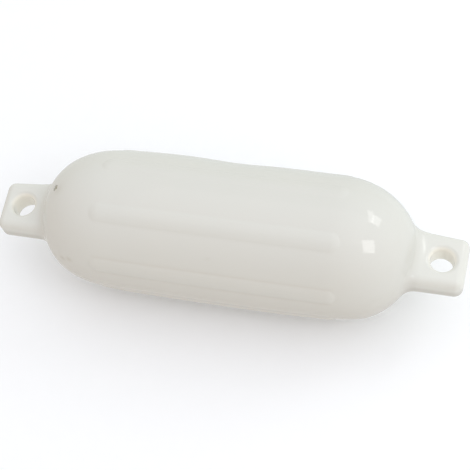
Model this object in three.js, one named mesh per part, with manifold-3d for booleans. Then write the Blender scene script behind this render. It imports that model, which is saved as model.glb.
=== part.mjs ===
// Inflatable boat fender, in millimetres, +Z up.
// It is a one-piece moulded vinyl shell with eight low ribs, and a solid ear with a rope eye at each end.
// A rubber valve plug sits in the left dome, and the body is pumped up through it.
// The fender lies along X with its ears level, on the small flat spot of its soft body.
// The origin is the middle of its base.
import * as THREE from 'three';
import { LoftGeometry } from 'three/addons/geometries/LoftGeometry.js';
import { mergeVertices } from 'three/addons/utils/BufferGeometryUtils.js';
import Module from 'manifold-3d';

// Body
const bodyDiameter = 140;
const middleSwell = 0.6; // the air swells the long wall outwards, most at the middle
const straightLength = 205;
const domeLength = 85;
const domeFullness = 2.3; // exponent of the dome's outline, where 2 is a plain ellipse
const wallThickness = 2.5;
const poleThickness = 7; // the vinyl is thicker where an ear grows out of the pole
const flatSpotWidth = 20;

// Ribs
const ribCount = 8;
const ribLength = 241;
const ribWidth = 19;
const ribHeight = 1.2;

// Ears and their rope eyes
const earReach = 47.5; // from the dome's pole to the ear's end
const earRootWidth = 57;
const earTipWidth = 52.5;
const earThickness = 27;
const earEdgeRadius = 8.5; // along the edges of the two broad faces
const earCornerRadius = 8; // at the two corners of the end, seen from above
const earOffset = 2.6; // both ears leave the domes a little to one side of the body's axis
const earLeanDegrees = 2.8; // and lean on to the same side
const leanReach = 11; // the lean sets in over this much on either side of the pole
const faceFilletRadius = 15; // where a broad face meets the dome
const sideFilletRadius = 19; // where a narrow side meets the dome
const eyeDiameter = 23;
const eyeMouthRadius = 5;
const eyeToEnd = 23.3;

// Valve plug and its seat
const valveToPole = 22; // along the body, from the valve's middle to the pole of the left dome
const valveBoreDiameter = 6.4;
const valveClearance = 0.3;
const valveRecess = 0.9;
const bossDiameter = 15;
const bossDepth = 7; // from the outer surface to the boss's inner face
const plugFlangeDiameter = 11;
const plugFlangeThickness = 2;
const needleHoleDiameter = 1.4;
const needleFunnelDiameter = 3;
const needleFunnelDepth = 1.2;
const plugFloorThickness = 1.5; // closed rubber below the needle hole

// Fineness of the facets
const columnsPerRib = 12;
const domeRows = 7;
const filletRows = 4;
const roundingRows = 4;
const cavityColumns = 32;
const cavityDomeRows = 7;
const boreColumns = 32;
const valveColumns = 20;

const bodyRadius = bodyDiameter / 2;
const halfStraight = straightLength / 2;
const poleX = halfStraight + domeLength;
const endX = poleX + earReach;
const eyeX = endX - eyeToEnd;
const axisHeight = Math.sqrt(bodyRadius ** 2 - (flatSpotWidth / 2) ** 2);
const columns = ribCount * columnsPerRib;

const wasm = await Module();
wasm.setup();

// Point and outward normal of a dome's outline in the plane of the axis, at parameter t from 0 to 1.
function domePoint(t, radius, length) {
  const angle = (t * Math.PI) / 2;
  const along = Math.sin(angle) ** (2 / domeFullness);
  const across = Math.cos(angle) ** (2 / domeFullness);
  const normal = new THREE.Vector2(
    along ** (domeFullness - 1) / length,
    across ** (domeFullness - 1) / radius,
  ).normalize();
  return { point: new THREE.Vector2(halfStraight + length * along, radius * across), normal };
}

// Parameter at which the outer dome reaches the distance x from the middle.
function domeParameter(x) {
  const along = Math.max(0, x - halfStraight) / domeLength;
  return (Math.asin(along ** (domeFullness / 2)) * 2) / Math.PI;
}

// Extra radius of the long wall at x, a parabola that ends where the domes begin.
function swell(x) {
  return middleSwell * Math.max(0, 1 - (x / halfStraight) ** 2);
}

// Height of the ribs above the body: a low rounded bead with round ends.
function ribRise(x, angle) {
  const spacing = (2 * Math.PI) / ribCount;
  const fromCrest = angle - spacing * (Math.floor(angle / spacing) + 0.5);
  const beyondStraight = Math.max(0, x - (ribLength - ribWidth) / 2);
  const distance = Math.hypot(bodyRadius * fromCrest, beyondStraight) / (ribWidth / 2);
  return ribHeight * Math.max(0, 1 - distance ** 2);
}

// How far a rounding of the given radius has drawn in at x, on the way to the ear's end.
function drawnIn(x, radius) {
  const reach = Math.max(0, x - (endX - radius));
  return radius - Math.sqrt(Math.max(0, radius ** 2 - reach ** 2));
}

// Distance at x from the body's axis to the ear's surface, at an angle turned from +Z towards +Y.
function earDistance(x, angle) {
  const taper = THREE.MathUtils.mapLinear(x, poleX, endX, earRootWidth, earTipWidth) / 2;
  const halfWidth = taper - drawnIn(x, earCornerRadius);
  const edgeDrawnIn = drawnIn(x, earEdgeRadius);
  const halfThickness = earThickness / 2 - edgeDrawnIn;
  const edgeRadius = earEdgeRadius - edgeDrawnIn;
  const outside = (distance) => {
    const y = Math.abs(distance * Math.sin(angle) + earOffset) - halfWidth + edgeRadius;
    const z = Math.abs(distance * Math.cos(angle)) - halfThickness + edgeRadius;
    return Math.max(y, z) < 0 ? false : Math.hypot(Math.max(0, y), Math.max(0, z)) > edgeRadius;
  };
  return bisect(0, earRootWidth + earThickness, outside);
}

// The value between low and high from which the test holds.
function bisect(low, high, test) {
  for (let step = 0; step < 40; step++) {
    const middle = (low + high) / 2;
    if (test(middle)) {
      high = middle;
    } else {
      low = middle;
    }
  }
  return (low + high) / 2;
}

// Rows on which the ribs end and the long wall meets the dome, from the middle outwards.
function bodyRows() {
  const rows = [0, halfStraight / 2, halfStraight];
  for (let row = 0; row <= 3; row++) {
    const reach = Math.sin((row * Math.PI) / 6);
    rows.push(ribLength / 2 - (ribWidth / 2) * (1 - reach));
  }
  return rows.sort((a, b) => a - b);
}

// Half of the fender's outline at one angle: body, dome, root fillet, ear and rounded end.
function outline(angle) {
  const points = [];
  const rows = bodyRows();
  for (const x of rows) {
    const radius = domePoint(domeParameter(x), bodyRadius, domeLength).point.y;
    points.push(new THREE.Vector2(x, radius + swell(x) + ribRise(x, angle)));
  }

  const side = Math.sin(angle) ** 2;
  const filletRadius = THREE.MathUtils.lerp(faceFilletRadius, sideFilletRadius, side);
  const rootDistance = earDistance(poleX, angle);
  const start = domeParameter(rows.at(-1));
  const tangency = bisect(start, 1, (t) => {
    const { point, normal } = domePoint(t, bodyRadius, domeLength);
    return point.y + filletRadius * normal.y < rootDistance + filletRadius;
  });
  for (let row = 1; row <= domeRows; row++) {
    const t = THREE.MathUtils.lerp(start, tangency, row / domeRows);
    points.push(domePoint(t, bodyRadius, domeLength).point);
  }

  const { point, normal } = domePoint(tangency, bodyRadius, domeLength);
  const centre = point.clone().addScaledVector(normal, filletRadius);
  const firstAngle = Math.atan2(-normal.y, -normal.x);
  for (let row = 1; row <= filletRows; row++) {
    const turn = THREE.MathUtils.lerp(firstAngle, -Math.PI / 2, row / filletRows);
    points.push(new THREE.Vector2(Math.cos(turn), Math.sin(turn)).multiplyScalar(filletRadius).add(centre));
  }

  for (let row = 0; row <= roundingRows; row++) {
    const reach = Math.sin((row * Math.PI) / 2 / roundingRows);
    const x = endX - Math.max(earCornerRadius, earEdgeRadius) * (1 - reach);
    points.push(new THREE.Vector2(x, earDistance(x, angle)));
  }
  return points;
}

// Turns a point beyond the pole about the ear's root, so that the ear leans towards -Y.
function lean(point) {
  const end = Math.sign(point.x);
  const fromPole = Math.abs(point.x) - poleX;
  const fromMiddle = point.y + earOffset;
  const share = THREE.MathUtils.smoothstep(fromPole, -leanReach, leanReach);
  const angle = THREE.MathUtils.degToRad(earLeanDegrees) * share;
  point.x = end * (poleX + fromPole * Math.cos(angle) + fromMiddle * Math.sin(angle));
  point.y = fromMiddle * Math.cos(angle) - fromPole * Math.sin(angle) - earOffset;
  return point;
}

// Outer skin, lofted through sections square to the axis and flattened where the body rests.
function makeSkin() {
  const outlines = [];
  for (let column = columns; column > 0; column--) {
    const angle = (column * 2 * Math.PI) / columns;
    outlines.push({ angle, points: outline(angle) });
  }
  const section = (row, end) => outlines.map(({ angle, points }) => {
    const { x, y: distance } = points[row];
    const height = Math.max(distance * Math.cos(angle), -axisHeight);
    return lean(new THREE.Vector3(end * x, distance * Math.sin(angle), height));
  });
  const lastRow = outlines[0].points.length - 1;
  const sections = [];
  for (let row = lastRow; row > 0; row--) {
    sections.push(section(row, -1));
  }
  for (let row = 0; row <= lastRow; row++) {
    sections.push(section(row, 1));
  }
  return new LoftGeometry(sections, { capStart: true, capEnd: true });
}

// Air space inside the body, which follows the flat spot at one wall's distance.
function makeCavity() {
  const radius = bodyRadius - wallThickness;
  const length = domeLength - poleThickness;
  const half = [0, halfStraight / 2].map((x) => new THREE.Vector2(x, radius + swell(x)));
  for (let row = 0; row <= cavityDomeRows; row++) {
    half.push(domePoint(row / cavityDomeRows, radius, length).point);
  }
  const right = half.map((point) => new THREE.Vector2(point.y, point.x));
  const left = half.slice(1).map((point) => new THREE.Vector2(point.y, -point.x)).reverse();
  right.at(-1).x = 0;
  left[0].x = 0;
  const cavity = new THREE.LatheGeometry([...left, ...right], cavityColumns).rotateZ(-Math.PI / 2);
  const position = cavity.attributes.position;
  for (let index = 0; index < position.count; index++) {
    position.setZ(index, Math.max(position.getZ(index), wallThickness - axisHeight));
  }
  return cavity;
}

// Cutter for one rope eye: a straight bore whose two mouths are rounded over.
function makeEyeCutter(end) {
  const boreRadius = eyeDiameter / 2;
  const face = earThickness / 2;
  const arcCentre = face - 0.95 * eyeMouthRadius;
  const upper = [];
  for (let row = 0; row <= roundingRows; row++) {
    const turn = (row * Math.PI) / 2 / roundingRows;
    upper.push(new THREE.Vector2(
      boreRadius + eyeMouthRadius * (1 - Math.cos(turn)),
      arcCentre + eyeMouthRadius * Math.sin(turn),
    ));
  }
  upper.push(new THREE.Vector2(boreRadius + eyeMouthRadius, face + eyeMouthRadius));
  upper.push(new THREE.Vector2(0, face + eyeMouthRadius));
  const lower = upper.map((point) => new THREE.Vector2(point.x, -point.y)).reverse();
  const cutter = new THREE.LatheGeometry([...lower, ...upper], boreColumns).rotateX(Math.PI / 2);
  cutter.translate(end * eyeX, -earOffset, 0);
  const position = cutter.attributes.position;
  const corner = new THREE.Vector3();
  for (let index = 0; index < position.count; index++) {
    const { x, y, z } = lean(corner.fromBufferAttribute(position, index));
    position.setXYZ(index, x, y, z);
  }
  return cutter;
}

// Plain round bar about the valve's axis between two depths below the surface.
function makeValveBar(radius, shallow, deep) {
  const profile = [
    new THREE.Vector2(0, -deep),
    new THREE.Vector2(radius, -deep),
    new THREE.Vector2(radius, -shallow),
    new THREE.Vector2(0, -shallow),
  ];
  return placeAtValve(new THREE.LatheGeometry(profile, valveColumns));
}

// Moves a shape made about +Y, with the body's surface at height zero, to the valve's seat.
function placeAtValve(geometry) {
  const { point, normal } = domePoint(domeParameter(poleX - valveToPole), bodyRadius, domeLength);
  const outwards = new THREE.Vector3(-normal.x, 0, normal.y);
  const turn = new THREE.Quaternion().setFromUnitVectors(new THREE.Vector3(0, 1, 0), outwards);
  return geometry.applyQuaternion(turn).translate(-point.x, 0, point.y);
}

// Rubber plug: a stem with a needle hole in its outer face, and a flange behind the boss.
function makeValvePlug() {
  const stemRadius = valveBoreDiameter / 2 - valveClearance;
  const flangeTop = bossDepth + valveClearance;
  const flangeBottom = flangeTop + plugFlangeThickness;
  const holeFloor = flangeBottom - plugFloorThickness;
  const profile = [
    new THREE.Vector2(0, -flangeBottom),
    new THREE.Vector2(plugFlangeDiameter / 2, -flangeBottom),
    new THREE.Vector2(plugFlangeDiameter / 2, -flangeTop),
    new THREE.Vector2(stemRadius, -flangeTop),
    new THREE.Vector2(stemRadius, -valveRecess),
    new THREE.Vector2(needleFunnelDiameter / 2, -valveRecess),
    new THREE.Vector2(needleHoleDiameter / 2, -valveRecess - needleFunnelDepth),
    new THREE.Vector2(needleHoleDiameter / 2, -holeFloor),
    new THREE.Vector2(0, -holeFloor),
  ];
  return placeAtValve(new THREE.LatheGeometry(profile, valveColumns));
}

// Closed mesh with shared corners, without triangles that have shrunk to a line.
function welded(geometry) {
  const bare = new THREE.BufferGeometry();
  bare.setAttribute('position', geometry.attributes.position);
  bare.setIndex(geometry.index);
  const merged = mergeVertices(bare);
  const corners = merged.index.array;
  const kept = [];
  for (let first = 0; first < corners.length; first += 3) {
    const [a, b, c] = corners.slice(first, first + 3);
    if (a !== b && b !== c && c !== a) {
      kept.push(a, b, c);
    }
  }
  merged.setIndex(kept);
  return merged;
}

function toSolid(geometry) {
  const mesh = welded(geometry);
  return new wasm.Manifold(new wasm.Mesh({
    numProp: 3,
    vertProperties: new Float32Array(mesh.attributes.position.array),
    triVerts: new Uint32Array(mesh.index.array),
  }));
}

function toGeometry(solid) {
  const mesh = solid.getMesh();
  const geometry = new THREE.BufferGeometry();
  geometry.setAttribute('position', new THREE.BufferAttribute(mesh.vertProperties, 3));
  geometry.setIndex(new THREE.BufferAttribute(mesh.triVerts, 1));
  geometry.computeVertexNormals();
  return geometry;
}

// The shell: skin less air space, rope eyes and valve bore, with a boss inside that carries the plug.
function makeBody() {
  const boss = toSolid(makeValveBar(bossDiameter / 2, -bossDepth, bossDepth));
  const cavity = toSolid(makeCavity()).subtract(boss);
  const valveBore = toSolid(makeValveBar(valveBoreDiameter / 2, -bossDepth, 2 * bossDepth));
  let body = toSolid(makeSkin()).subtract(cavity).subtract(valveBore);
  for (const end of [-1, 1]) {
    body = body.subtract(toSolid(makeEyeCutter(end)));
  }
  return toGeometry(body);
}

const glossyVinyl = new THREE.MeshStandardMaterial({ color: 0xecebe4, roughness: 0.3, metalness: 0 });
const valveRubber = new THREE.MeshStandardMaterial({ color: 0x5d5743, roughness: 0.75, metalness: 0 });

const fenderBody = new THREE.Mesh(makeBody(), glossyVinyl);
fenderBody.name = 'fender_body';
fenderBody.position.z = axisHeight;

const valvePlug = new THREE.Mesh(welded(makeValvePlug()), valveRubber);
valvePlug.name = 'valve_plug';
valvePlug.position.z = axisHeight;

const fender = new THREE.Group();
fender.add(fenderBody, valvePlug);

export default fender;
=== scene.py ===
import math

import bpy
import numpy as np
from mathutils import Matrix, Vector


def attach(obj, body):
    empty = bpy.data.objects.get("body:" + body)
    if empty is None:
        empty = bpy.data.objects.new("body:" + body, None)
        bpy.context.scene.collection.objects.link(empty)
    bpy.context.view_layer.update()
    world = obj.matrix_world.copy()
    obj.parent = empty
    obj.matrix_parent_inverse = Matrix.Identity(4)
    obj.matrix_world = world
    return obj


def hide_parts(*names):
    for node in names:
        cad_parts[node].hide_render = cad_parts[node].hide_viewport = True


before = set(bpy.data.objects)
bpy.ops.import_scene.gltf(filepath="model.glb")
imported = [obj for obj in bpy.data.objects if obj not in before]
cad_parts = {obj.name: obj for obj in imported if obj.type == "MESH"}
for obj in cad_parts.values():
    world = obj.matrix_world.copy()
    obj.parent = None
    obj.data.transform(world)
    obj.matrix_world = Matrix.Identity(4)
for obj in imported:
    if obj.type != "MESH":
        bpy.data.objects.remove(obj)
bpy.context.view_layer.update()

# An inflatable boat fender of white moulded vinyl, lying on a pale floor.
# The fender's own lengths are in millimetres. Meshes, lamps and camera are in metres.
metre = 0.001
scene = bpy.context.scene


# sRGB hex code to linear RGBA.
def linearColour(code):
    value = np.array([int(code[i:i + 2], 16) for i in (1, 3, 5)]) / 255
    linear = np.where(value <= 0.04045, value / 12.92, ((value + 0.055) / 1.055) ** 2.4)
    return (*linear.tolist(), 1.0)


# Mesh over a grid of rings whose first and last ring have shrunk to a pole.
# Row times column is the outward side.
def closedSurface(name, rings):
    rows, columns = rings.shape[:2]
    points = np.concatenate([rings[:1, 0], rings[1:-1].reshape(-1, 3), rings[-1:, 0]]) * metre
    index = 1 + np.arange((rows - 2) * columns).reshape(rows - 2, columns)
    beside = np.roll(index, -1, axis=1)
    quads = np.stack([index[:-1], index[1:], beside[1:], beside[:-1]], axis=-1).reshape(-1, 4)
    first = np.stack([np.zeros(columns, int), index[0], beside[0]], axis=-1)
    last = np.stack([index[-1], np.full(columns, len(points) - 1), beside[-1]], axis=-1)
    mesh = bpy.data.meshes.new(name)
    mesh.from_pydata(points.tolist(), [], quads.tolist() + first.tolist() + last.tolist())
    mesh.validate()
    mesh.polygons.foreach_set("use_smooth", np.ones(len(mesh.polygons), bool))
    thing = bpy.data.objects.new(name, mesh)
    scene.collection.objects.link(thing)
    return thing


# Rings of a shape turned about +Z: radius and height along its outline.
def turned(radius, height, columns):
    angle = -np.arange(columns) * 2 * np.pi / columns
    radius, height = np.asarray(radius, float)[:, None], np.asarray(height, float)[:, None]
    return np.stack(np.broadcast_arrays(radius * np.cos(angle), radius * np.sin(angle), height), axis=-1)


# Cuts the cutters out of the target for good, and removes them.
def subtract(target, cutters):
    for cutter in cutters:
        cut = target.modifiers.new("cut", "BOOLEAN")
        cut.operation = "DIFFERENCE"
        cut.solver = "MANIFOLD"
        cut.object = cutter
    settle(target)
    for cutter in cutters:
        bpy.data.meshes.remove(cutter.data)


# Replaces the target's mesh by what its modifiers make of it.
def settle(target):
    graph = bpy.context.evaluated_depsgraph_get()
    made = bpy.data.meshes.new_from_object(
        target.evaluated_get(graph), preserve_all_data_layers=True, depsgraph=graph)
    made.name = target.name
    target.modifiers.clear()
    target.data = made


# Adds a shader node, with its settings, and its inputs as values or as sockets to link.
def addNode(tree, kind, inputs=None, **settings):
    node = tree.nodes.new(kind)
    for key, value in settings.items():
        setattr(node, key, value)
    for key, value in (inputs or {}).items():
        if isinstance(value, bpy.types.NodeSocket):
            tree.links.new(value, node.inputs[key])
        else:
            node.inputs[key].default_value = value
    return node


# Empty material with its output node.
def newMaterial(name):
    material = bpy.data.materials.new(name)
    material.use_nodes = True
    tree = material.node_tree
    tree.nodes.clear()
    return material, tree, addNode(tree, "ShaderNodeOutputMaterial")


body = {
    "radius": 70.0, "swell": 0.6, "halfStraight": 102.5, "domeLength": 85.0, "fullness": 2.3,
    "flatHalfWidth": 10.0, "wall": 2.5, "poleWall": 7.0,
}
rib = {"count": 8, "length": 241.0, "width": 19.0, "height": 1.2}
ear = {
    "reach": 47.5, "rootWidth": 57.0, "tipWidth": 52.5, "thickness": 27.0, "edge": 8.5, "corner": 8.0,
    "offset": 2.6, "lean": math.radians(2.8), "leanReach": 11.0, "faceFillet": 15.0, "sideFillet": 19.0,
    "eye": 23.0, "mouth": 5.0, "mouthShare": 0.97, "eyeToEnd": 23.3,
}
poleX = body["halfStraight"] + body["domeLength"]
endX = poleX + ear["reach"]
axisHeight = math.sqrt(body["radius"] ** 2 - body["flatHalfWidth"] ** 2)

# Shallow swells and dents in this fender's soft wall, fitted to its outline in the picture and rounded:
# place along the body, angle from the top, reach along and around, height.
unevenness = (
    (-60, 60, 40, 35, 0.8), (5, 60, 30, 30, -1.3), (125, 60, 15, 20, 0.7), (170, 60, 15, 20, -1.1),
    (-160, -100, 20, 30, 0.5), (-110, -110, 12, 30, -0.8),
    (110, -110, 30, 30, -1.1), (150, -110, 15, 25, 1.0),
)


# Point and outward normal of the dome's outline, a superellipse, at t from 0 to 1.
def domeCurve(t, radius, length):
    angle = np.asarray(t) * np.pi / 2
    along = np.sin(angle) ** (2 / body["fullness"])
    across = np.cos(angle) ** (2 / body["fullness"])
    normalX = along ** (body["fullness"] - 1) / length
    normalR = across ** (body["fullness"] - 1) / radius
    size = np.hypot(normalX, normalR)
    return body["halfStraight"] + length * along, radius * across, normalX / size, normalR / size


# Height of the low beads: a parabola across each, with round ends.
def ribRise(x, angle):
    spacing = 2 * np.pi / rib["count"]
    fromCrest = angle - spacing * (np.floor(angle / spacing) + 0.5)
    beyond = np.maximum(0, x - (rib["length"] - rib["width"]) / 2)
    distance = np.hypot(body["radius"] * fromCrest, beyond) / (rib["width"] / 2)
    return rib["height"] * np.maximum(0, 1 - distance ** 2)


# Swell of the long wall, a parabola, and its shallow unevenness, smooth round bumps.
def wallRise(x, angle):
    rise = body["swell"] * np.maximum(0, 1 - (x / body["halfStraight"]) ** 2)
    for place, turn, along, around, height in unevenness:
        aside = np.angle(np.exp(1j * (angle - math.radians(turn)))) / math.radians(around)
        rise = rise + height * np.exp(-((x - place) / along) ** 2 - aside ** 2)
    return rise


# How far a rounding has drawn in at x, on the way to the ear's end.
def drawnIn(x, radius):
    reach = np.maximum(0, x - (endX - radius))
    return radius - np.sqrt(np.maximum(0, radius ** 2 - reach ** 2))


# Distance from the axis to the ear's surface, a rounded rectangle, found by halving.
def earDistance(x, angle):
    taper = (ear["rootWidth"] + (ear["tipWidth"] - ear["rootWidth"]) * (x - poleX) / ear["reach"]) / 2
    halfWidth = taper - drawnIn(x, ear["corner"])
    edgeDrawnIn = drawnIn(x, ear["edge"])
    halfThickness = ear["thickness"] / 2 - edgeDrawnIn
    edge = ear["edge"] - edgeDrawnIn
    low = np.zeros(np.broadcast(x, angle).shape)
    high = low + ear["rootWidth"] + ear["thickness"]
    for _ in range(36):
        middle = (low + high) / 2
        y = np.abs(middle * np.sin(angle) + ear["offset"]) - halfWidth + edge
        z = np.abs(middle * np.cos(angle)) - halfThickness + edge
        outside = (np.maximum(y, z) >= 0) & (np.hypot(np.maximum(y, 0), np.maximum(z, 0)) > edge)
        high = np.where(outside, middle, high)
        low = np.where(outside, low, middle)
    return (low + high) / 2


# Turns what lies beyond each pole about the ear's root, so that the ears lean towards -Y.
def lean(points):
    end, y = np.sign(points[..., 0]), points[..., 1]
    fromPole = np.abs(points[..., 0]) - poleX
    share = np.clip((fromPole / ear["leanReach"] + 1) / 2, 0, 1)
    angle = ear["lean"] * share * share * (3 - 2 * share)
    fromMiddle = y + ear["offset"]
    x = end * (poleX + fromPole * np.cos(angle) + fromMiddle * np.sin(angle))
    y = fromMiddle * np.cos(angle) - fromPole * np.sin(angle) - ear["offset"]
    return np.stack([x, y, points[..., 2]], axis=-1)


# Angles around the body, closer together across the ribs, with one at each rib's edge.
def ribAngles():
    spacing = 2 * np.pi / rib["count"]
    edge = rib["width"] / 2 / body["radius"]
    across = np.linspace(-edge, edge, 19)
    between = np.linspace(edge, spacing - edge, 21)[1:-1]
    period = np.concatenate([across, between]) + spacing / 2
    return np.concatenate([period + k * spacing for k in range(rib["count"])])


# Distance along and from the axis, row by column: wall, dome, root fillet, ear, rounded end and end face.
def halfOutline(angle):
    wall = np.concatenate([
        np.linspace(0, body["halfStraight"], 24),
        np.linspace(body["halfStraight"], (rib["length"] - rib["width"]) / 2, 4)[1:],
        np.linspace((rib["length"] - rib["width"]) / 2, rib["length"] / 2, 13)[1:],
    ])[:, None]
    along = np.maximum(0, wall - body["halfStraight"]) / body["domeLength"]
    t = np.arcsin(along ** (body["fullness"] / 2)) * 2 / np.pi
    radius = domeCurve(t, body["radius"], body["domeLength"])[1]
    xs, rs = [wall + 0 * angle], [radius + ribRise(wall, angle)]

    fillet = ear["faceFillet"] + (ear["sideFillet"] - ear["faceFillet"]) * np.sin(angle) ** 2
    root = earDistance(poleX, angle)
    low, high = np.full_like(angle, t[-1, 0]), np.ones_like(angle)
    for _ in range(36):
        middle = (low + high) / 2
        _, r, _, normalR = domeCurve(middle, body["radius"], body["domeLength"])
        past = r + fillet * normalR < root + fillet
        high, low = np.where(past, middle, high), np.where(past, low, middle)
    tangency = (low + high) / 2
    share = np.linspace(0, 1, 37)[1:, None]
    x, r, _, _ = domeCurve(t[-1, 0] + (tangency - t[-1, 0]) * share, body["radius"], body["domeLength"])
    xs.append(x)
    rs.append(r)

    x, r, normalX, normalR = domeCurve(tangency, body["radius"], body["domeLength"])
    centreX, centreR = x + fillet * normalX, r + fillet * normalR
    firstTurn = np.arctan2(-normalR, -normalX)
    turn = firstTurn + (-np.pi / 2 - firstTurn) * np.linspace(0, 1, 15)[1:, None]
    xs.append(centreX + fillet * np.cos(turn))
    rs.append(centreR + fillet * np.sin(turn))

    rounding = max(ear["corner"], ear["edge"])
    x = centreX + (endX - rounding - centreX) * np.linspace(0, 1, 19)[1:, None]
    xs.append(x)
    rs.append(earDistance(x, angle))
    x = endX - rounding * (1 - np.sin(np.linspace(0, np.pi / 2, 13)[1:, None])) + 0 * angle
    xs.append(x)
    rs.append(earDistance(x, angle))
    return np.concatenate(xs), np.concatenate(rs)


# Rings of the outer skin from the left ear's end face to the right one's.
def skinRings():
    angle = ribAngles()
    x, r = halfOutline(angle)
    halves = []
    for end in (-1, 1):
        distance = r + wallRise(end * x, angle)
        height = np.maximum(distance * np.cos(angle), -axisHeight)
        half = lean(np.stack([end * x, distance * np.sin(angle), height], axis=-1))
        middle = half[-1].mean(axis=0)
        shrinking = np.linspace(1, 0, 7)[1:, None, None]
        halves.append(np.concatenate([half, middle + (half[-1] - middle) * shrinking]))
    rings = np.concatenate([halves[0][:0:-1], halves[1]])
    return rings + (0, 0, axisHeight)


# Rings of the air space, a wall's thickness inside the plain round wall and further in at the poles.
def cavityRings():
    radius, length = body["radius"] - body["wall"], body["domeLength"] - body["poleWall"]
    x, r, _, _ = domeCurve(np.linspace(0, 1, 25), radius, length)
    wall = np.linspace(0, body["halfStraight"], 8)[:-1]
    x = np.concatenate([wall, x])
    r = np.concatenate([wall * 0 + radius, r])
    x, r = np.concatenate([-x[:0:-1], x]), np.concatenate([r[:0:-1], r])
    r[[0, -1]] = 0
    swell = body["swell"] * np.maximum(0, 1 - (x / body["halfStraight"]) ** 2)
    angle = np.arange(96) * 2 * np.pi / 96
    distance = (r + swell)[:, None]
    height = np.maximum(distance * np.cos(angle), body["wall"] - axisHeight)
    rings = np.stack(np.broadcast_arrays(x[:, None], distance * np.sin(angle), height), axis=-1)
    return rings + (0, 0, axisHeight)


# Straight bore along Z whose two mouths widen in a quarter round, leaning with its ear.
def eyeCutter(end):
    bore, face, mouth = ear["eye"] / 2, ear["thickness"] / 2, ear["mouth"]
    turn = np.linspace(0, np.pi / 2, 9)
    radius = np.concatenate([[bore] * 8, bore + mouth * (1 - np.cos(turn)), [bore + mouth, 0]])
    arcCentre = face - ear["mouthShare"] * mouth
    height = np.concatenate([
        np.linspace(0, face - mouth, 9)[:-1], arcCentre + mouth * np.sin(turn), [face + mouth] * 2])
    radius, height = np.concatenate([radius[:0:-1], radius]), np.concatenate([-height[:0:-1], height])
    rings = turned(radius, height, 72) + (end * (endX - ear["eyeToEnd"]), -ear["offset"], 0)
    return closedSurface("eye_cutter", lean(rings) + (0, 0, axisHeight))


valve = {
    "toPole": 22.0, "bore": 6.4, "lip": 0.3, "gap": 0.3, "recess": 0.9, "boss": 15.0, "bossDepth": 7.0,
    "flange": 11.0, "flangeThickness": 2.0, "hole": 1.4, "funnel": 3.0, "funnelDepth": 1.2, "floor": 1.5,
}
along = (body["domeLength"] - valve["toPole"]) / body["domeLength"]
seatX, seatR, seatNormalX, seatNormalR = domeCurve(
    np.arcsin(along ** (body["fullness"] / 2)) * 2 / np.pi, body["radius"], body["domeLength"])
valveSeat = np.array([-seatX, 0, seatR + axisHeight])
valveOutwards = np.array([-seatNormalX, 0, seatNormalR])


# Moves a shape made about +Z, with the skin's surface at height zero, to the valve's seat.
def atValve(rings):
    aside = np.array([seatNormalR, 0, seatNormalX])
    return rings[..., :1] * aside + rings[..., 1:2] * (0, 1, 0) + rings[..., 2:] * valveOutwards + valveSeat


# Bore through skin and boss, with a slightly rounded mouth.
def valveBoreCutter():
    turn = np.linspace(0, np.pi / 2, 7)
    bore = valve["bore"] / 2
    lip = valve["lip"]
    radius = np.concatenate([[0, bore, bore, bore], bore + lip * (1 - np.cos(turn)), [bore + lip, 0]])
    height = np.concatenate([[-14, -14, -9, -4], -0.25 + lip * np.sin(turn), [2, 2]])
    return closedSurface("valve_bore_cutter", atValve(turned(radius, height, 64)))


# Round boss that carries the plug, taken out of the air space.
def bossCutter():
    radius = [0, valve["boss"] / 2, valve["boss"] / 2, 0]
    height = [-valve["bossDepth"], -valve["bossDepth"], 5, 5]
    return closedSurface("boss_cutter", atValve(turned(radius, height, 48)))


# Rubber plug: stem with a dished needle hole, and its flange behind the boss.
def plugRings():
    stem = valve["bore"] / 2 - valve["gap"]
    top = -valve["recess"]
    flangeTop = -valve["bossDepth"] - valve["gap"]
    bottom = flangeTop - valve["flangeThickness"]
    hole, funnel = valve["hole"] / 2, valve["funnel"] / 2
    turn = np.linspace(0, np.pi / 2, 5)
    radius = np.concatenate([
        [0, valve["flange"] / 2, valve["flange"] / 2, stem, stem], stem - 0.5 + 0.5 * np.cos(turn),
        np.linspace(funnel, hole, 4), [hole, 0]])
    height = np.concatenate([
        [bottom, bottom, flangeTop, flangeTop, top - 1.5], top - 0.5 + 0.5 * np.sin(turn),
        top - valve["funnelDepth"] * np.linspace(0, 1, 4) ** 0.7, [bottom + valve["floor"]] * 2])
    return atValve(turned(radius, height, 56))


skin = closedSurface("fender_skin", skinRings())
cavity = closedSurface("air_space_cutter", cavityRings())
subtract(cavity, [bossCutter()])
subtract(skin, [cavity, valveBoreCutter(), eyeCutter(-1), eyeCutter(1)])
skin.data.polygons.foreach_set("use_smooth", np.ones(len(skin.data.polygons), bool))
skin.data.set_sharp_from_angle(angle=math.radians(40))
skin.modifiers.new("even_shading", "WEIGHTED_NORMAL").keep_sharp = True
settle(skin)
plug = closedSurface("valve_plug_rubber", plugRings())
plug.data.set_sharp_from_angle(angle=math.radians(35))
print("meshes made:", len(skin.data.polygons), "and", len(plug.data.polygons), "faces")


# Smoothly from 0 at low to 1 at high.
def smooth(low, high, value):
    share = np.clip((value - low) / (high - low), 0, 1)
    return share * share * (3 - 2 * share)


# Stains: place along the body and angle from the top, radius, strength.
stains = (
    (-161.0, -3, 6.0, 0.12), (-150.6, -73, 2.6, 0.2), (-142.3, -70, 3.0, 0.2), (-1.6, -47, 1.8, 0.12),
)
# How strongly the painted shade and painted light show, and the angle from the top at which the painted shade
# on the low side is deepest, with its spread.
paintedShading = {
    "low": 0.36, "creases": 0.15, "sides": 0.42, "leftEarLight": 0.6, "nearEyeLight": 0.4,
    "lowAngle": -108, "lowSpread": 30, "creaseWidth": 1.6,
}


# The mesh's vertices in millimetres, one row each.
def vertexPlaces(mesh):
    points = np.empty(len(mesh.vertices) * 3, np.float32)
    mesh.vertices.foreach_get("co", points)
    return points.reshape(-1, 3).astype(float) / metre


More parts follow.
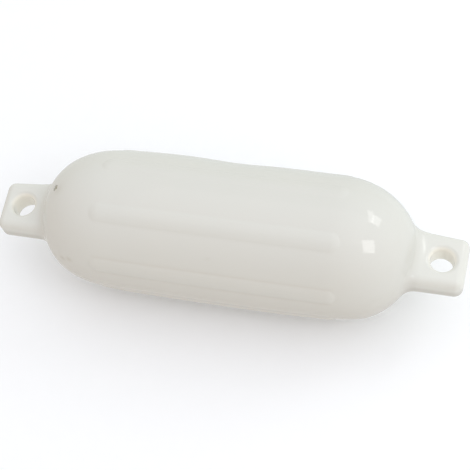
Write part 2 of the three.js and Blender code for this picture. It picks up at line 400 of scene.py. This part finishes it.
# Keeps an amount from 0 to 1 for each vertex under a name that a material reads.
def keepAmount(mesh, name, amount):
    layer = mesh.attributes.new(name, "FLOAT", "POINT")
    layer.data.foreach_set("value", amount.astype(np.float32))


# Amounts by place: painted light within the eyes' mouths and on the ears, painted shade low on the near side,
# in the lower ribs' creases and grey along the ears' near sides, and real stains in spots.
def markShadingAndStains(mesh):
    x, y, z = (vertexPlaces(mesh) - (0, 0, axisHeight)).T
    along = np.abs(x)
    eyeX = endX - ear["eyeToEnd"]
    eyeY = -ear["offset"] - (eyeX - poleX) * math.sin(ear["lean"])
    bore = ear["eye"] / 2
    # Painted light: the inside of the eyes is painted whiter, more on the far side than on the near side.
    eyeLitFully = 1 - smooth(bore, bore + 0.6 * ear["mouth"], np.hypot(along - eyeX, y - eyeY))
    nearEyeLight = paintedShading["nearEyeLight"]
    paintedEyeLight = eyeLitFully * (nearEyeLight + (1 - nearEyeLight) * smooth(-6, 4, y - eyeY))
    angle = np.degrees(np.arctan2(y, z))
    # Painted shade: the low side, towards the floor on the near side, is painted darker.
    low = np.exp(-((angle - paintedShading["lowAngle"]) / paintedShading["lowSpread"]) ** 2)
    low = low * (1 - smooth(poleX - 10, poleX + 10, along))
    # Painted shade: a band along the ears' near sides is painted darker grey.
    sides = smooth(0.8, 0.98, -y / (ear["tipWidth"] / 2)) * smooth(5, -2, z)
    sides = sides * smooth(poleX - 12, poleX + 4, along)
    # Painted light: the ears are painted lighter, the right one more than the left.
    paintedEarLight = smooth(poleX - 4, poleX + 8, along) * np.where(x < 0, paintedShading["leftEarLight"], 1)
    spacing = 360 / rib["count"]
    fromCrest = np.abs(angle - spacing * (np.floor(angle / spacing) + 0.5))
    aside = np.radians(fromCrest) * body["radius"] - rib["width"] / 2
    # Painted shade: the ribs' edge creases on the lower side are painted darker.
    creases = np.exp(-(aside / paintedShading["creaseWidth"]) ** 2) * smooth(-35, -60, angle)
    creases = creases * (1 - smooth(112, 120, along))
    stained = 0 * x
    for place, turn, radius, strength in stains:
        away = np.hypot(x - place, body["radius"] * np.radians(angle - turn))
        stained = np.maximum(stained, strength * np.exp(-(away / radius) ** 2))
    # Painted light on the ears.
    keepAmount(mesh, "paintedEarLight", paintedEarLight)
    # Painted shade low down and in the lower creases.
    keepAmount(mesh, "paintedLowShade", paintedShading["low"] * low + paintedShading["creases"] * creases)
    # Painted shade along the ears' near sides.
    keepAmount(mesh, "paintedSideShade", paintedShading["sides"] * sides)
    # Painted light inside the eyes.
    keepAmount(mesh, "paintedEyeLight", paintedEyeLight)
    keepAmount(mesh, "stained", stained)


# Amount of painted shade in the needle hole's dished funnel, by distance from the plug's axis.
def markPlug(mesh):
    away = vertexPlaces(mesh) - valveSeat
    radius = np.linalg.norm(away - (away @ valveOutwards)[:, None] * valveOutwards, axis=1)
    # Painted shade in the needle hole's funnel.
    keepAmount(mesh, "paintedHoleShade", 1 - smooth(0.6, 1.5, radius))


markShadingAndStains(skin.data)
markPlug(plug.data)
print("wear marked")


vinyl = {
    "light": "#d5d5cf", "deep": "#d2d3ce", "roughness": 0.06, "refraction": 1.53,
    # Layers over the base tone: painted light on the ears and in the eyes, painted shade low down, in creases
    # and along the ears' near sides, and real stains.
    "layers": {
        "paintedEarLight": "#dbdcd6", "paintedLowShade": "#bbb2a4", "paintedSideShade": "#b4b1a8", "paintedEyeLight": "#f9f7ee",
        "stained": "#8d8158",
    },
}
# The darkest rubber colour is painted shade in the needle hole.
rubber = {"light": "#cac8b7", "deep": "#c0beac", "paintedHoleShade": "#7d7965", "roughness": 0.75, "refraction": 1.5}


# Glossy white plasticised vinyl: a clear sharp gloss over a warm white, a very fine orange peel from
# the mould and slow waves in the wall, so that the lamps mirror a little unsteadily.
# The eyes' insides and the ears are painted lighter, as painted light, and the side that the fender is laid
# on, the lower ribs' creases and the ears' near sides are painted darker, as painted shade.
def vinylMaterial():
    material, tree, output = newMaterial("glossy_moulded_vinyl")
    place = addNode(tree, "ShaderNodeTexCoord").outputs["Object"]
    cloud = addNode(tree, "ShaderNodeTexNoise", {
        "Vector": place, "Scale": 14.0, "Detail": 2.0, "Roughness": 0.5})
    tone = addNode(tree, "ShaderNodeMix", {
        "Factor": cloud.outputs["Fac"], "A": linearColour(vinyl["deep"]), "B": linearColour(vinyl["light"]),
    }, data_type="RGBA")
    for layer, colour in vinyl["layers"].items():
        amount = addNode(tree, "ShaderNodeAttribute", attribute_name=layer)
        tone = addNode(tree, "ShaderNodeMix", {
            "Factor": amount.outputs["Fac"], "A": tone.outputs["Result"], "B": linearColour(colour),
        }, data_type="RGBA")
    peel = addNode(tree, "ShaderNodeTexNoise", {"Vector": place, "Scale": 420.0, "Detail": 1.0})
    wave = addNode(tree, "ShaderNodeTexNoise", {"Vector": place, "Scale": 38.0, "Detail": 1.0})
    fine = addNode(tree, "ShaderNodeBump", {
        "Strength": 0.15, "Distance": 0.00002, "Height": peel.outputs["Fac"]})
    slow = addNode(tree, "ShaderNodeBump", {
        "Strength": 0.3, "Distance": 0.0001, "Height": wave.outputs["Fac"], "Normal": fine.outputs["Normal"]})
    shader = addNode(tree, "ShaderNodeBsdfPrincipled", {
        "Base Color": tone.outputs["Result"], "Normal": slow.outputs["Normal"],
        "Roughness": vinyl["roughness"], "IOR": vinyl["refraction"],
    })
    tree.links.new(shader.outputs["BSDF"], output.inputs["Surface"])
    return material


# Dull greyish valve rubber, slightly mottled, with painted shade where the needle goes in.
def rubberMaterial():
    material, tree, output = newMaterial("dull_valve_rubber")
    place = addNode(tree, "ShaderNodeTexCoord").outputs["Object"]
    mottle = addNode(tree, "ShaderNodeTexNoise", {"Vector": place, "Scale": 900.0, "Detail": 3.0})
    tone = addNode(tree, "ShaderNodeMix", {
        "Factor": mottle.outputs["Fac"],
        "A": linearColour(rubber["deep"]), "B": linearColour(rubber["light"]),
    }, data_type="RGBA")
    # Painted shade where the needle goes in.
    amount = addNode(tree, "ShaderNodeAttribute", attribute_name="paintedHoleShade")
    tone = addNode(tree, "ShaderNodeMix", {
        "Factor": amount.outputs["Fac"], "A": tone.outputs["Result"], "B": linearColour(rubber["paintedHoleShade"]),
    }, data_type="RGBA")
    shader = addNode(tree, "ShaderNodeBsdfPrincipled", {
        "Base Color": tone.outputs["Result"],
        "Roughness": rubber["roughness"], "IOR": rubber["refraction"],
    })
    tree.links.new(shader.outputs["BSDF"], output.inputs["Surface"])
    return material


# Matt white studio board.
def floorMaterial():
    material, tree, output = newMaterial("matt_white_board")
    place = addNode(tree, "ShaderNodeTexCoord").outputs["Object"]
    grain = addNode(tree, "ShaderNodeTexNoise", {"Vector": place, "Scale": 60.0, "Detail": 2.0})
    tone = addNode(tree, "ShaderNodeMix", {
        "Factor": grain.outputs["Fac"], "A": linearColour("#f6f8fa"), "B": linearColour("#f8fafc"),
    }, data_type="RGBA")
    shader = addNode(tree, "ShaderNodeBsdfPrincipled", {
        "Base Color": tone.outputs["Result"], "Roughness": 0.9, "Specular IOR Level": 0.1,
    })
    tree.links.new(shader.outputs["BSDF"], output.inputs["Surface"])
    return material


skin.data.materials.clear()
skin.data.materials.append(vinylMaterial())
plug.data.materials.append(rubberMaterial())
for piece, node, slot in ((skin, "fender_body", "fender_vinyl"), (plug, "valve_plug", "valve_rubber")):
    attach(piece, "root")
    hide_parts(node)
print("materials made")


floorMesh = bpy.data.meshes.new("studio_floor")
floorMesh.from_pydata([(-4, -4, 0), (4, -4, 0), (4, 4, 0), (-4, 4, 0)], [], [(0, 1, 2, 3)])
floor = bpy.data.objects.new("studio_floor", floorMesh)
floor.data.materials.append(floorMaterial())
floor.visible_glossy = False  # the gloss mirrors the duller room instead, as in the picture's grey edges
scene.collection.objects.link(floor)


# Turned and placed matrix of a lamp or camera that looks down its own -Z. Azimuth turns from -Y towards
# +X, elevation is how steeply it looks down, and roll turns it about its line of sight, all in degrees.
def standing(place, azimuth, elevation, roll):
    azimuth, elevation, roll = (math.radians(value) for value in (azimuth, elevation, roll))
    flat = math.cos(elevation)
    back = Vector((math.sin(azimuth) * flat, -math.cos(azimuth) * flat, math.sin(elevation)))
    level = Vector((math.cos(azimuth), math.sin(azimuth), 0))
    right = level * math.cos(roll) + back.cross(level) * math.sin(roll)
    matrix = Matrix((right, back.cross(right), back)).transposed().to_4x4()
    matrix.translation = Vector(place)
    return matrix


# Panels placed so that their highlights fall where the picture has them, and a wide softbox overhead:
# centre, then azimuth, elevation and roll, then width, height and brightness.
# The farther highlight is wedge-shaped, so two panels make it.
lamps = {
    "front_window": ((0.96, -0.28, 1.11), (72, 49, -53), 0.39, 0.46, 2.75),
    "back_window": ((0.77, 0.76, 0.98), (140, 41, -130), 0.15, 0.49, 1.8),
    "back_window_wing": ((0.92, 0.69, 0.92), (131, 37, -139), 0.26, 0.36, 2.15),
    "overhead_softbox": ((0.3, 0.5, 2.4), (0, 90, 0), 2.4, 2.4, 0.18),
}
for name, (centre, turns, width, height, brightness) in lamps.items():
    light = bpy.data.lights.new(name, "AREA")
    light.shape = "RECTANGLE"
    light.size, light.size_y = width, height
    light.energy = brightness * math.pi * width * height
    panel = bpy.data.objects.new(name, light)
    panel.matrix_world = standing(centre, *turns)
    scene.collection.objects.link(panel)

# Light of the room: a warm even part, and cooler light from the right, from behind, from above and from
# below, each as direction, power that narrows it, and colour. The camera itself sees a plain pale backdrop.
world = bpy.data.worlds.new("white_studio")
world.use_nodes = True
sky = world.node_tree
direction = addNode(sky, "ShaderNodeTexCoord").outputs["Generated"]
total = addNode(sky, "ShaderNodeVectorMath", {0: (0.62, 0.52, 0.42)}, operation="SCALE")
total.inputs["Scale"].default_value = 1.0
for towards, power, light in (
    ((1, 0, 0), 1.0, (0.44, 0.5, 0.54)), ((-1, 0, 0), 1.0, (0.06, 0.06, 0.06)),
    ((0, 1, 0), 1.0, (0.14, 0.24, 0.26)), ((0, 0, 1), 1.0, (0.12, 0.16, 0.22)),
    ((0, 0, 1), 2.0, (0.3, 0.36, 0.46)), ((0, 0, -1), 1.0, (0.04, 0.12, 0.2)),
):
    facing = addNode(sky, "ShaderNodeVectorMath", {0: direction, 1: towards}, operation="DOT_PRODUCT")
    forwards = addNode(sky, "ShaderNodeMath", {0: facing.outputs["Value"], 1: 0.0}, operation="MAXIMUM")
    narrowed = addNode(sky, "ShaderNodeMath", {0: forwards.outputs["Value"], 1: power}, operation="POWER")
    share = addNode(sky, "ShaderNodeVectorMath", {
        0: light, "Scale": narrowed.outputs["Value"]}, operation="SCALE")
    total = addNode(sky, "ShaderNodeVectorMath", {
        0: total.outputs["Vector"], 1: share.outputs["Vector"]}, operation="ADD")
ray = addNode(sky, "ShaderNodeLightPath")
seen = addNode(sky, "ShaderNodeMix", {
    "Factor": ray.outputs["Is Camera Ray"], "A": total.outputs["Vector"], "B": linearColour("#eff1f2"),
}, data_type="RGBA")
sky.links.new(seen.outputs["Result"], sky.nodes["Background"].inputs["Color"])
scene.world = world
scene.view_settings.view_transform = "Standard"

# The camera looks at a point near the middle of the fender's axis, from the photograph's viewing angle.
cameraView = {
    "target": (0.0094, -0.0006), "distance": 0.951, "azimuth": 25.87, "elevation": 62.15, "roll": -15.66,
    "lens": 73.5, "sensor": 36,
}
camera = bpy.data.objects.new("camera", bpy.data.cameras.new("camera"))
camera.data.lens = cameraView["lens"]
camera.data.sensor_width = cameraView["sensor"]
turns = [cameraView[key] for key in ("azimuth", "elevation", "roll")]
aim = Vector((*cameraView["target"], axisHeight * metre))
camera.matrix_world = standing(aim, *turns)
camera.matrix_world.translation = aim + camera.matrix_world.col[2].to_3d() * cameraView["distance"]
camera.data.clip_start = 0.05
scene.collection.objects.link(camera)
scene.camera = camera
print("stage, light and camera set")
